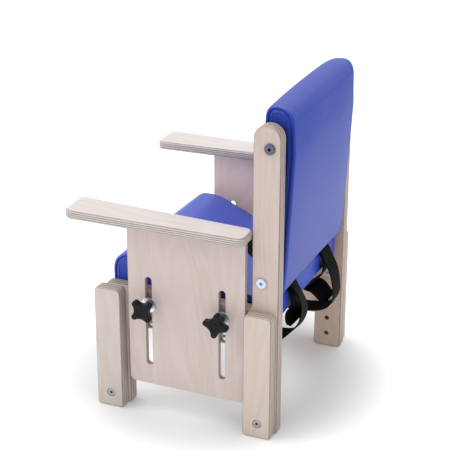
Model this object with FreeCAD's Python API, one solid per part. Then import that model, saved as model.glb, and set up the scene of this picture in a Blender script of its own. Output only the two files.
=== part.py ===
import FreeCAD, Part
import math
import os
from FreeCAD import Vector as V

# Small postural support chair: two cut plywood side frames carry an upholstered
# seat and back; each side has a height-adjustable armrest panel clamped by two
# star knobs, and doubled legs.  Millimetres, +Z up, floor at Z = 0, X = 0 is the
# mid-plane, +X is the sitter's left, -Y is the front.  Y_SHIFT puts the origin
# under the middle of the whole box.

# ---------------------------------------------------------------- dimensions
Y_SHIFT = 15.74

BOARD = 21.0                 # birch plywood of frames and legs
X_OUT = 188.7                # outer face of the outer leg boards
X_MID = X_OUT - BOARD        # outer face of the side frames
X_IN = X_MID - BOARD         # inner face of the side frames

UP_Y0, UP_Y1, UP_TOP = 106.0, 150.0, 513.0      # rear upright
UP_LEG_Y0 = 101.8            # its leg below the rail is a little wider
POST_Y0, POST_Y1 = -148.0, -105.0               # front post
RAIL_Z0, RAIL_Z1 = 144.5, 212.3                 # side rail
CORNER_R = 10.0              # inside corners of the side frame
FOOT_R = 5.0                 # rounded foot corners
LEG_TOP_R = 8.0
EASE = 2.2                   # eased board edges

LEG_REAR = (100.4, 146.7)    # outer leg boards, Y range
LEG_FRONT = (-155.8, -110.3)
LEG_TOP = 212.3
HOLE_Y_REAR, HOLE_Y_FRONT = 125.0, -131.0
HOLE_Z = (25.0, 55.0, 85.0, 115.0, 145.0)       # height steps, 30 mm apart
HOLE_R = 4.25
CLAMP_Z = (85.0, 145.0)      # the steps in use
FOOT_Z = 25.0

PANEL_T = 9.0                # sliding side panel
PANEL_X = X_MID + 0.3
PANEL_Y = (-100.8, 99.2)
PANEL_Z0, PANEL_TOP = 50.0, 333.5
PANEL_R = 9.0
SLOT_Y = (-65.0, 60.8)
SLOT_Z = (85.0, 240.0)
SLOT_W = 11.0

ARM_T = 15.0                 # armrest
ARM_Z0 = 328.5
ARM_Y = (-197.5, 105.2)
ARM_XO, ARM_XI_FRONT, ARM_XI_REAR = 203.5, 139.5, 156.5
ARM_R = 13.0
ARM_EDGE = 4.0

KNOB_Z = 192.0               # clamping knobs
WASHER_R, WASHER_T, WASHER_HOLE = 12.5, 2.0, 4.2
HUB_R = 6.2
STAR_LOBE_R, STAR_LOBE_D, STAR_VALLEY_R = 4.9, 16.0, 14.0
STAR_DISH_R, STAR_DISH_T = 7.0, 0.8             # shallow dish in the knob's face
STAR_X0, STAR_X1 = 195.2, 207.6
STUD_R = 4.0
STUD_X0 = 151.0
INSERT_R, INSERT_L = 6.5, 18.0
STAR_TURN = {"front_left": 42.0, "rear_left": 82.0, "front_right": 20.0, "rear_right": 62.0}

BOLT_R = 3.0                 # M6 connector bolts
BOLT_HEAD_R, BOLT_HEAD_T = 8.5, 3.0
BOLT_HOLE_R = 3.3
HEX_AF = 5.0
RAIL_BOLT_Z = 157.5
CROSS_Z = (146.0, 183.0)     # cross rails under the seat
CROSS_T = 21.0

SEAT_X = 142.0               # seat cushion half width
SEAT_Y = (-146.5, 138.5)
SEAT_Z0 = 183.0
SEAT_REAR_Z = 223.8
SEAT_BOARD_T = 12.0
SEAT_SKIRT = 5.0

BACK_X = 142.0               # back cushion half width
BACK_V = (-21.0, 29.3)       # front and rear face, from the bolt line
BACK_TILT = 2.75             # recline, degrees
BACK_PIVOT = (122.0, 260.4)  # lower bolt axis, Y and Z
BACK_U = (-24.5, 277.5)      # from the lower bolt, along the back
BACK_BOLT_U = (0.0, 218.0)
BACK_BOARD_T = 18.0
BACK_BOARD_X = 136.0
BACK_BOARD_TOP = 262.0

STRAP_W = 40.0               # lap strap webbing
STRAP_T = 2.0
STRAP_X = 75.0               # middle of each strap

PARTS = "parts"
os.makedirs(PARTS, exist_ok=True)


# ---------------------------------------------------------------- helpers
def rounded(points):
    """Closed 2-D outline [(a, b, corner radius)] as a list of segments."""
    n = len(points)
    segs, ends = [], []
    for i in range(n):
        p0, p1, p2 = points[i - 1], points[i], points[(i + 1) % n]
        r = p1[2]
        d0 = (p0[0] - p1[0], p0[1] - p1[1])
        d2 = (p2[0] - p1[0], p2[1] - p1[1])
        l0, l2 = math.hypot(*d0), math.hypot(*d2)
        u0, u2 = (d0[0] / l0, d0[1] / l0), (d2[0] / l2, d2[1] / l2)
        if r <= 0:
            ends.append(((p1[0], p1[1]), None, (p1[0], p1[1])))
            continue
        c = max(-1.0, min(1.0, u0[0] * u2[0] + u0[1] * u2[1]))
        half = math.acos(c) / 2
        t = r / math.tan(half)
        a = (p1[0] + u0[0] * t, p1[1] + u0[1] * t)
        b = (p1[0] + u2[0] * t, p1[1] + u2[1] * t)
        bis = (u0[0] + u2[0], u0[1] + u2[1])
        lb = math.hypot(*bis)
        k = r / math.sin(half) - r
        m = (p1[0] + bis[0] / lb * k, p1[1] + bis[1] / lb * k)
        ends.append((a, m, b))
    for i in range(n):
        a, m, b = ends[i]
        if m is not None:
            segs.append(("arc", a, m, b))
        nxt = ends[(i + 1) % n][0]
        if math.hypot(nxt[0] - b[0], nxt[1] - b[1]) > 1e-6:
            segs.append(("line", b, nxt))
    return segs


def face_of(segs, place):
    edges = []
    for s in segs:
        if s[0] == "line":
            edges.append(Part.LineSegment(place(*s[1]), place(*s[2])).toShape())
        else:
            edges.append(Part.Arc(place(*s[1]), place(*s[2]), place(*s[3])).toShape())
    wire = Part.Wire(Part.__sortEdges__(edges))
    return Part.Face(wire)


def plate_yz(points, x0, x1):
    """Outline in Y, Z, extruded along X."""
    f = face_of(rounded(points), lambda a, b: V(x0, a, b))
    return f.extrude(V(x1 - x0, 0, 0))


def plate_xy(points, z0, z1):
    f = face_of(rounded(points), lambda a, b: V(a, b, z0))
    return f.extrude(V(0, 0, z1 - z0))


def box(x0, x1, y0, y1, z0, z1):
    return Part.makeBox(x1 - x0, y1 - y0, z1 - z0, V(x0, y0, z0))


def cyl_x(x0, x1, y, z, r):
    if x1 < x0:
        x0, x1 = x1, x0
    return Part.makeCylinder(r, x1 - x0, V(x0, y, z), V(1, 0, 0))


def cyl_z(z0, z1, x, y, r):
    return Part.makeCylinder(r, z1 - z0, V(x, y, z0), V(0, 0, 1))


def hex_x(x0, x1, y, z, af):
    pts = []
    for i in range(7):
        a = math.radians(60 * i)
        pts.append(V(x0, y + af / math.sqrt(3) * math.cos(a), z + af / math.sqrt(3) * math.sin(a)))
    return Part.Face(Part.makePolygon(pts)).extrude(V(x1 - x0, 0, 0))


def edges_on_x(shape, xs):
    """Edges lying wholly in one of the planes X = xs."""
    out = []
    for e in shape.Edges:
        b = e.BoundBox
        for x in xs:
            if abs(b.XMin - x) < 1e-4 and abs(b.XMax - x) < 1e-4:
                out.append(e)
    return out


def edges_on_z(shape, z):
    return [e for e in shape.Edges if abs(e.BoundBox.ZMin - z) < 1e-4 and abs(e.BoundBox.ZMax - z) < 1e-4]


def mirror_x(shape):
    return shape.mirror(V(0, 0, 0), V(1, 0, 0))


def bolt_x(x_seat, x_end, y, z, head_r=BOLT_HEAD_R, head_t=BOLT_HEAD_T, af=HEX_AF):
    """Connector bolt along X: wide low head outside x_seat, shank to x_end."""
    s = 1.0 if x_seat > x_end else -1.0
    x_top = x_seat + s * head_t
    head = cyl_x(x_seat, x_top, y, z, head_r)
    head = head.makeFillet(min(1.2, head_t * 0.45), edges_on_x(head, (x_top,)))
    shank = cyl_x(x_seat, x_end, y, z, BOLT_R)
    shank = shank.makeChamfer(0.6, edges_on_x(shank, (x_end,)))
    b = head.fuse(shank).removeSplitter()
    return b.cut(hex_x(x_top + s * 0.1, x_top - s * 4.5, y, z, af))


def ring_x(x0, x1, y, z, r, bore):
    return cyl_x(x0, x1, y, z, r).cut(cyl_x(min(x0, x1) - 1, max(x0, x1) + 1, y, z, bore))


def one(shape):
    """The single solid of a boolean result."""
    solids = shape.Solids
    return solids[0] if len(solids) == 1 else Part.makeCompound(solids)


def save(name, shape):
    shape = shape.copy()
    shape.translate(V(0, Y_SHIFT, 0))
    assert shape.isValid(), name
    for s in shape.Solids:
        assert s.isClosed() and s.Volume > 0, name
    shape.exportStep(os.path.join(PARTS, name + ".step"))


def group(shapes):
    return Part.makeCompound([s for sh in shapes for s in sh.Solids])


def ribbon(path, width_x, thick):
    """Flat webbing: centre line [(y, z, corner radius)] in the Y-Z plane, spread along X."""

    def offset(d):
        n = len(path)
        out = []
        dirs = []
        for i in range(n - 1):
            dy, dz = path[i + 1][0] - path[i][0], path[i + 1][1] - path[i][1]
            l = math.hypot(dy, dz)
            dirs.append((dy / l, dz / l))
        for i in range(n):
            p = path[i]
            if i == 0 or i == n - 1:
                u = dirs[0] if i == 0 else dirs[-1]
                out.append((p[0] - u[1] * d, p[1] + u[0] * d, 0.0))
                continue
            a, b = dirs[i - 1], dirs[i]
            na, nb = (-a[1], a[0]), (-b[1], b[0])
            k = 1 + na[0] * nb[0] + na[1] * nb[1]
            m = ((na[0] + nb[0]) / k * d, (na[1] + nb[1]) / k * d)
            cross = a[0] * b[1] - a[1] * b[0]
            r = p[2] - d if cross > 0 else p[2] + d
            out.append((p[0] + m[0], p[1] + m[1], r))
        return out

    left, right = offset(thick / 2), offset(-thick / 2)
    return plate_yz(left + right[::-1], width_x[0], width_x[1])


# ---------------------------------------------------------------- side frames
rise = RAIL_Z1 - RAIL_Z0
frame_outline = [
    (POST_Y0, 0, FOOT_R),
    (POST_Y1, 0, FOOT_R),
    (POST_Y1, RAIL_Z0, CORNER_R),
    (UP_LEG_Y0, RAIL_Z0, CORNER_R),
    (UP_LEG_Y0, 0, FOOT_R),
    (UP_Y1, 0, FOOT_R),
    (UP_Y1, UP_TOP, 21.9),
    (UP_Y0, UP_TOP, 21.9),
    (UP_Y0, RAIL_Z1, CORNER_R),
    (POST_Y0, RAIL_Z1, LEG_TOP_R),
]
side = plate_yz(frame_outline, X_IN, X_MID)
side = side.makeFillet(EASE, edges_on_x(side, (X_IN, X_MID)))

tilt = math.radians(BACK_TILT)


def back_point(u, v=0.0):
    """Y, Z of a point of the reclined back, u up along it, v towards the rear."""
    return (
        BACK_PIVOT[0] + u * math.sin(tilt) + v * math.cos(tilt),
        BACK_PIVOT[1] + u * math.cos(tilt) - v * math.sin(tilt),
    )


cuts = []
for u in BACK_BOLT_U:
    y, z = back_point(u)
    cuts.append(cyl_x(X_IN - 1, X_MID + 1, y, z, BOLT_HOLE_R))
for y in SLOT_Y:
    cuts.append(cyl_x(X_MID - INSERT_L, X_MID + 1, y, KNOB_Z, INSERT_R))
    cuts.append(cyl_x(X_IN - 1, X_MID + 1, y, RAIL_BOLT_Z, BOLT_HOLE_R))
    cuts.append(cyl_x(X_MID - 3.6, X_MID + 1, y, RAIL_BOLT_Z, BOLT_HEAD_R + 0.5))
for y in (HOLE_Y_REAR, HOLE_Y_FRONT):
    for z in HOLE_Z:
        cuts.append(cyl_x(X_IN - 1, X_MID + 1, y, z, HOLE_R))
    cuts.append(cyl_x(X_MID - 12.0, X_MID + 1, y, FOOT_Z, 5.0))
for c in cuts:
    side = side.cut(c)
side = one(side)
save("left_side_frame", side)
save("right_side_frame", mirror_x(side))


# ---------------------------------------------------------------- outer leg boards
def leg_board(y0, y1, hole_y):
    leg = plate_yz(
        [(y0, 0, FOOT_R), (y1, 0, FOOT_R), (y1, LEG_TOP, LEG_TOP_R), (y0, LEG_TOP, LEG_TOP_R)],
        X_MID, X_OUT,
    )
    leg = leg.makeFillet(EASE, edges_on_x(leg, (X_MID, X_OUT)))
    for z in CLAMP_Z:
        leg = leg.cut(cyl_x(X_MID - 1, X_MID + 15.0, hole_y, z, 5.0))
    leg = leg.cut(cyl_x(X_MID - 1, X_OUT + 1, hole_y, FOOT_Z, BOLT_HOLE_R))
    leg = leg.cut(cyl_x(X_OUT - 2.6, X_OUT + 1, hole_y, FOOT_Z, 7.4))
    return one(leg)


for name, (y0, y1), hy in (("front", LEG_FRONT, HOLE_Y_FRONT), ("rear", LEG_REAR, HOLE_Y_REAR)):
    leg = leg_board(y0, y1, hy)
    save(f"{name}_left_leg_board", leg)
    save(f"{name}_right_leg_board", mirror_x(leg))

clamp_bolts, clamp_inserts, foot_bolts, foot_inserts = [], [], [], []
for hy in (HOLE_Y_FRONT, HOLE_Y_REAR):
    for z in CLAMP_Z:
        b = bolt_x(X_IN, X_MID + 13.0, hy, z)
        i = ring_x(X_MID, X_MID + 13.5, hy, z, 5.0, BOLT_R + 0.05)
        clamp_bolts += [b, mirror_x(b)]
        clamp_inserts += [i, mirror_x(i)]
    b = bolt_x(X_OUT - 2.6, X_MID - 10.0, hy, FOOT_Z, 7.0, 2.5, 5.0)
    i = ring_x(X_MID - 12.0, X_MID, hy, FOOT_Z, 5.0, BOLT_R + 0.05)
    foot_bolts += [b, mirror_x(b)]
    foot_inserts += [i, mirror_x(i)]
save("leg_clamp_bolts", group(clamp_bolts))
save("leg_clamp_inserts", group(clamp_inserts))
save("leg_foot_bolts", group(foot_bolts))
save("leg_foot_inserts", group(foot_inserts))

# ---------------------------------------------------------------- sliding panels and armrests
panel = plate_yz(
    [
        (PANEL_Y[0], PANEL_Z0, PANEL_R),
        (PANEL_Y[1], PANEL_Z0, PANEL_R),
        (PANEL_Y[1], PANEL_TOP, 0),
        (PANEL_Y[0], PANEL_TOP, 0),
    ],
    PANEL_X, PANEL_X + PANEL_T,
)
w = SLOT_W / 2
for y in SLOT_Y:
    panel = panel.cut(
        plate_yz(
            [(y - w, SLOT_Z[0], w - 0.01), (y + w, SLOT_Z[0], w - 0.01), (y + w, SLOT_Z[1], w - 0.01), (y - w, SLOT_Z[1], w - 0.01)],
            PANEL_X - 1, PANEL_X + PANEL_T + 1,
        )
    )
panel = one(panel)
soft = [e for e in edges_on_x(panel, (PANEL_X, PANEL_X + PANEL_T)) if e.BoundBox.ZMin < ARM_Z0 - 1]
soft = [e for e in soft if e.BoundBox.ZMax < ARM_Z0 - 1]
panel_plain = panel
panel = panel.makeFillet(0.8, soft)
save("left_side_panel", panel)
save("right_side_panel", mirror_x(panel))

arm = plate_xy(
    [
        (ARM_XI_FRONT, ARM_Y[0], 9.0),
        (ARM_XO, ARM_Y[0], ARM_R),
        (ARM_XO, ARM_Y[1], ARM_R),
        (ARM_XI_REAR, ARM_Y[1], ARM_R),
    ],
    ARM_Z0, ARM_Z0 + ARM_T,
)
arm = arm.makeFillet(ARM_EDGE, edges_on_z(arm, ARM_Z0) + edges_on_z(arm, ARM_Z0 + ARM_T))
arm = one(arm.cut(box(PANEL_X, PANEL_X + PANEL_T, PANEL_Y[0], PANEL_Y[1], ARM_Z0 - 1, PANEL_TOP)))
save("left_armrest", arm)
save("right_armrest", mirror_x(arm))


# ---------------------------------------------------------------- clamping knobs
def star_outline(turn):
    """Four lobes joined by hollow arcs."""
    d, rl, rv = STAR_LOBE_D, STAR_LOBE_R, STAR_VALLEY_R
    h = d * math.cos(math.pi / 4)
    far = h + math.sqrt(h * h - d * d + (rl + rv) ** 2)
    segs = []

    def rot(p, a):
        c, s = math.cos(a), math.sin(a)
        return (p[0] * c - p[1] * s, p[0] * s + p[1] * c)

    lobe = (d, 0.0)
    valley = (far * math.cos(math.pi / 4), far * math.sin(math.pi / 4))
    k = rl / (rl + rv)
    touch = (lobe[0] + (valley[0] - lobe[0]) * k, lobe[1] + (valley[1] - lobe[1]) * k)
    low = (touch[0], -touch[1])
    tip = (d + rl, 0.0)
    dip_r = far - rv
    for i in range(4):
        a = math.radians(turn) + i * math.pi / 2
        segs.append(("arc", rot(low, a), rot(tip, a), rot(touch, a)))
        dip = (dip_r * math.cos(math.pi / 4), dip_r * math.sin(math.pi / 4))
        segs.append(("arc", rot(touch, a), rot(dip, a), rot(low, a + math.pi / 2)))
    return segs


inserts = []
for corner, y, sgn in (
    ("front_left", SLOT_Y[0], 1), ("rear_left", SLOT_Y[1], 1),
    ("front_right", SLOT_Y[0], -1), ("rear_right", SLOT_Y[1], -1),
):
    x_face = PANEL_X + PANEL_T + 0.1
    washer = ring_x(x_face, x_face + WASHER_T, y, KNOB_Z, WASHER_R, WASHER_HOLE)
    x_hub = x_face + WASHER_T + 0.1
    f = face_of(star_outline(STAR_TURN[corner]), lambda a, b: V(STAR_X0, y + a, KNOB_Z + b))
    star = f.extrude(V(STAR_X1 - STAR_X0, 0, 0))
    star = star.makeFillet(2.6, edges_on_x(star, (STAR_X0, STAR_X1)))
    hub = cyl_x(x_hub, STAR_X0 + 4, y, KNOB_Z, HUB_R)
    knob = star.fuse(hub).removeSplitter()
    stud_end = STAR_X1 - 5.0
    knob = knob.cut(cyl_x(x_hub - 1, stud_end, y, KNOB_Z, STUD_R))
    dish = cyl_x(STAR_X1 - STAR_DISH_T, STAR_X1 + 1, y, KNOB_Z, STAR_DISH_R)
    dish = dish.cut(cyl_x(STAR_X1 - STAR_DISH_T - 1, STAR_X1 - 0.25, y, KNOB_Z, STAR_DISH_R - 2.4))
    knob = one(knob.cut(dish))
    stud = cyl_x(STUD_X0, stud_end, y, KNOB_Z, STUD_R)
    stud = stud.makeChamfer(0.8, edges_on_x(stud, (STUD_X0,)))
    insert = ring_x(X_MID - INSERT_L, X_MID, y, KNOB_Z, INSERT_R, STUD_R + 0.06)
    if sgn < 0:
        washer, knob, stud, insert = (mirror_x(s) for s in (washer, knob, stud, insert))
    save(f"{corner}_knob", knob)
    save(f"{corner}_knob_stud", stud)
    save(f"{corner}_knob_washer", washer)
    inserts.append(insert)
save("rail_inserts", group(inserts))

# ---------------------------------------------------------------- seat
rail_bolts, rail_nuts, seat_screws = [], [], []
for name, y in (("front_cross_rail", SLOT_Y[0]), ("rear_cross_rail", SLOT_Y[1])):
    rail = box(-X_IN, X_IN, y - CROSS_T / 2, y + CROSS_T / 2, CROSS_Z[0], CROSS_Z[1])
    rail = rail.makeFillet(1.5, [e for e in edges_on_z(rail, CROSS_Z[0]) if e.BoundBox.XLength > 10])
    for s in (1, -1):
        rail = rail.cut(cyl_x(s * (X_IN + 1), s * (X_IN - 52), y, RAIL_BOLT_Z, BOLT_HOLE_R))
        nx = s * (X_IN - 35)
        rail = rail.cut(Part.makeCylinder(5.0, CROSS_T + 2, V(nx, y - CROSS_T / 2 - 1, RAIL_BOLT_Z), V(0, 1, 0)))
        nut = Part.makeCylinder(5.0, 14.0, V(nx, y - 7.0, RAIL_BOLT_Z), V(0, 1, 0))
        nut = nut.cut(cyl_x(nx - 8, nx + 8, y, RAIL_BOLT_Z, BOLT_R + 0.05))
        rail_nuts.append(nut)
        rail_bolts.append(bolt_x(s * (X_MID - 3.6), s * (X_IN - 45), y, RAIL_BOLT_Z))
        sx = s * 30.0
        rail = rail.cut(cyl_z(CROSS_Z[0] - 1, CROSS_Z[1] + 1, sx, y, 2.4))
        rail = rail.cut(cyl_z(CROSS_Z[0] - 1, CROSS_Z[0] + 6.0, sx, y, 5.0))
        screw = cyl_z(CROSS_Z[0] + 3.2, CROSS_Z[0] + 6.0, sx, y, 4.2).fuse(
            cyl_z(CROSS_Z[0] + 6.0, SEAT_Z0 + 9.0, sx, y, 2.0)
        ).removeSplitter()
        seat_screws.append(screw)
    save(name, one(rail))
save("seat_rail_bolts", group(rail_bolts))
save("seat_rail_barrel_nuts", group(rail_nuts))
save("seat_board_screws", group(seat_screws))

sx, sy0, sy1 = SEAT_X - SEAT_SKIRT, SEAT_Y[0] + SEAT_SKIRT, SEAT_Y[1] - SEAT_SKIRT
seat_board = plate_xy(
    [(-sx, sy0, 10), (sx, sy0, 10), (sx, sy1, 10), (-sx, sy1, 10)], SEAT_Z0, SEAT_Z0 + SEAT_BOARD_T
)
seat_room = seat_board.copy()
for s in seat_screws:
    b = s.BoundBox
    seat_board = seat_board.cut(cyl_z(SEAT_Z0 - 1, SEAT_Z0 + 9.0, b.Center.x, b.Center.y, 2.0))

# side outline of the seat: raised, rounded front, falling to a low flat rear
seat_outline = [
    (SEAT_Y[0], SEAT_Z0, 4),
    (SEAT_Y[0], 243.0, 28),
    (-116.0, 264.0, 24),
    (-77.0, 262.0, 45),
    (-11.0, 230.5, 60),
    (29.0, SEAT_REAR_Z, 60),
    (SEAT_Y[1], SEAT_REAR_Z, 12),
    (SEAT_Y[1], SEAT_Z0, 4),
]
cushion = plate_yz(seat_outline, -SEAT_X, SEAT_X)
cushion = cushion.makeFillet(3.5, [e for e in edges_on_x(cushion, (-SEAT_X, SEAT_X)) if e.BoundBox.ZMax > SEAT_Z0 + 6])
cushion = one(cushion.cut(seat_room))
save("seat_cushion", cushion)

# ---------------------------------------------------------------- lap straps under and behind the seat
right_path = [
    (60.0, 228.2, 0), (143.0, 228.2, 18), (158.5, 200.0, 45), (165.5, 150.0, 40),
    (160.0, 118.0, 22), (118.0, 110.5, 60), (80.0, 108.0, 60), (48.0, 122.0, 40),
    (28.0, 152.0, 30), (21.0, 181.9, 9), (-20.0, 181.9, 0),
]
left_path = [
    (100.0, 228.2, 0), (143.0, 228.2, 18), (156.0, 203.0, 30), (160.5, 178.0, 40),
    (150.5, 150.0, 35), (132.0, 131.5, 40), (100.0, 125.8, 60), (62.0, 132.0, 50),
    (37.0, 155.0, 30), (21.0, 181.9, 9), (-20.0, 181.9, 0),
]
left_tail_path = [
    (96.0, 225.1, 0), (138.5, 225.1, 11), (146.8, 204.0, 22), (135.0, 163.0, 9), (149.5, 157.8, 0),
]
right_tail_path = [
    (96.0, 225.1, 0), (138.5, 225.1, 11), (149.5, 199.0, 22), (135.0, 168.5, 30), (112.5, 149.8, 3.2), (152.0, 131.0, 0),
]
lap = (STRAP_X - STRAP_W / 2, STRAP_X + STRAP_W / 2)
lap_r = (-lap[1], -lap[0])
straps = {
    "left_lap_strap": ribbon(left_path, lap, STRAP_T),
    "right_lap_strap": ribbon(right_path, lap_r, STRAP_T),
    "left_strap_tail": ribbon(left_tail_path, (lap[0] + 1, lap[1] - 1), STRAP_T),
    "right_strap_tail": ribbon(right_tail_path, (lap_r[0] + 1, lap_r[1] - 1), STRAP_T),
}
# the left strap's end lies slanting over the seat, towards its middle
end_run = [(87.8, 96.6, 0), (62.2, 127.4, 0), (-38.8, 43.4, 0), (-13.2, 12.6, 0)]
straps["left_lap_strap"] = straps["left_lap_strap"].fuse(plate_xy(end_run, 227.2, 229.2)).removeSplitter()
for name, s in straps.items():
    save(name, s)

bars, bar_screws = [], []
for x, y in ((STRAP_X, -6.0), (-STRAP_X, -6.0)):
    bar = plate_xy(
        [(x - 31, y - 7, 4), (x + 31, y - 7, 4), (x + 31, y + 7, 4), (x - 31, y + 7, 4)], 178.8, 180.8
    )
    for dx in (-25.5, 25.5):
        bar = bar.cut(cyl_z(170, 185, x + dx, y, 2.2))
        screw = cyl_z(176.4, 178.8, x + dx, y, 3.8)
        screw = screw.makeFillet(1.2, edges_on_z(screw, 176.4))
        screw = screw.fuse(cyl_z(178.8, SEAT_Z0 + 9.0, x + dx, y, 2.0)).removeSplitter()
        bar_screws.append(screw)
        seat_board = seat_board.cut(cyl_z(SEAT_Z0 - 1, SEAT_Z0 + 9.0, x + dx, y, 2.0))
    bars.append(one(bar))
save("strap_anchor_bars", group(bars))
save("strap_anchor_screws", group(bar_screws))
save("seat_board", one(seat_board))


# ---------------------------------------------------------------- back, built upright at its lower bolts, then reclined
def recline(shape):
    s = shape.copy()
    s.translate(V(0, BACK_PIVOT[0], BACK_PIVOT[1]))
    s.rotate(V(0, BACK_PIVOT[0], BACK_PIVOT[1]), V(1, 0, 0), -BACK_TILT)
    return s


pad = plate_yz(
    [
        (BACK_V[0], BACK_U[0], 3), (BACK_V[1], BACK_U[0], 3),
        (BACK_V[1], 205.0, 120), (BACK_V[1] - 6.3, BACK_U[1] - 1.0, 24), (BACK_V[0], BACK_U[1], 17),
    ],
    -BACK_X, BACK_X,
)
pad = pad.makeFillet(2.5, edges_on_x(pad, (-BACK_X, BACK_X)))
core = box(-BACK_BOARD_X, BACK_BOARD_X, -BACK_BOARD_T / 2, BACK_BOARD_T / 2, BACK_U[0], BACK_BOARD_TOP)
pad = pad.cut(core)
back_bolts, back_nuts, spacers = [], [], []
for u in BACK_BOLT_U:
    for s in (1, -1):
        pad = pad.cut(cyl_x(s * (BACK_BOARD_X - 1), s * (BACK_X + 1), 0, u, BOLT_HOLE_R))
        core = core.cut(cyl_x(s * (BACK_BOARD_X + 1), s * (BACK_BOARD_X - 46), 0, u, BOLT_HOLE_R))
        nx = s * (BACK_BOARD_X - 28)
        core = core.cut(Part.makeCylinder(5.0, BACK_BOARD_T + 2, V(nx, -BACK_BOARD_T / 2 - 1, u), V(0, 1, 0)))
        nut = Part.makeCylinder(5.0, 14.0, V(nx, -7.0, u), V(0, 1, 0)).cut(cyl_x(nx - 8, nx + 8, 0, u, BOLT_R + 0.05))
        back_nuts.append(nut)
        spacers.append(ring_x(s * BACK_X, s * X_IN, 0, u, 8.0, BOLT_HOLE_R))
        back_bolts.append(bolt_x(s * X_MID, s * (BACK_BOARD_X - 36), 0, u))
save("back_cushion", recline(one(pad)))
save("back_board", recline(one(core)))
save("back_bolts", recline(group(back_bolts)))
save("back_barrel_nuts", recline(group(back_nuts)))
save("back_spacers", recline(group(spacers)))
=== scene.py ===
import math

import bpy
import numpy as np
from mathutils import Matrix, Vector
from mathutils.bvhtree import BVHTree


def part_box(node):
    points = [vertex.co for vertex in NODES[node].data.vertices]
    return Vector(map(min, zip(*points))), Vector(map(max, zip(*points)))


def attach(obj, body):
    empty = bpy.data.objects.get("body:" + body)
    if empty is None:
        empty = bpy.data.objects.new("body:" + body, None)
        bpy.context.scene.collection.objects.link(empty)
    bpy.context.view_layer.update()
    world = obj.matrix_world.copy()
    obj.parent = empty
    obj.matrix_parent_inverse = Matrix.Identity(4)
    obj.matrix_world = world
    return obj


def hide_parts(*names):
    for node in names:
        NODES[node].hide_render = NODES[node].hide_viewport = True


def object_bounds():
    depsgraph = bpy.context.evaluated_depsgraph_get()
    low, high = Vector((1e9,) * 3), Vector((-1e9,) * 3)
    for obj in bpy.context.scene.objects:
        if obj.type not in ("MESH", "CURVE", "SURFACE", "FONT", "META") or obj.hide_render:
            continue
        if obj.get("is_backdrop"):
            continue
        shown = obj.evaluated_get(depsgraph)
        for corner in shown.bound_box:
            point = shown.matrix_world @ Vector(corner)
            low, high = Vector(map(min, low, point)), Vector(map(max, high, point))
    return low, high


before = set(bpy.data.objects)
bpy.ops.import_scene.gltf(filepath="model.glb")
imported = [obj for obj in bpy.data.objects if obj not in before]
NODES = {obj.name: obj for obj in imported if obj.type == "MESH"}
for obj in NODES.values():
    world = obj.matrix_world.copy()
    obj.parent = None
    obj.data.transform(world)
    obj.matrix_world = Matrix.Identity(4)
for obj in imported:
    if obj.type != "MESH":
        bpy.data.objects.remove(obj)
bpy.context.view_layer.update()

# Everything below is laid out in the design's millimetres (Y = 0 at the middle of
# the seat) and put into the row frame in metres by these two numbers.
MM = 0.001
Y_SHIFT = 15.74
SCENE = bpy.context.scene


def row(p):
    """Design millimetres to the row frame in metres."""
    a = np.asarray(p, float).reshape(-1, 3)
    return (a + np.array([0.0, Y_SHIFT, 0.0])) * MM


# ---------------------------------------------------------------- camera
def make_camera():
    az, el, roll = math.radians(112.60932), math.radians(23.38071), math.radians(0.1775)
    back = Vector((math.sin(az) * math.cos(el), -math.cos(az) * math.cos(el), math.sin(el)))
    right = Vector((0, 0, 1)).cross(back).normalized()
    up = back.cross(right)
    right, up = right * math.cos(roll) + up * math.sin(roll), up * math.cos(roll) - right * math.sin(roll)
    target = Vector(row((-1.1349, -0.4253, 260.7764))[0])
    data = bpy.data.cameras.new("camera")
    data.sensor_width = 36.0
    data.lens = 1374.598 / 460.0 * 36.0
    data.clip_start, data.clip_end = 0.05, 60.0
    cam = bpy.data.objects.new("camera", data)
    SCENE.collection.objects.link(cam)
    m = Matrix.Identity(4)
    for i in range(3):
        m[i][0], m[i][1], m[i][2] = right[i], up[i], back[i]
        m[i][3] = target[i] + back[i] * 2.27333
    cam.matrix_world = m
    SCENE.camera = cam


make_camera()
SCENE.view_settings.view_transform = "Standard"
SCENE.view_settings.look = "None"


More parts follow.
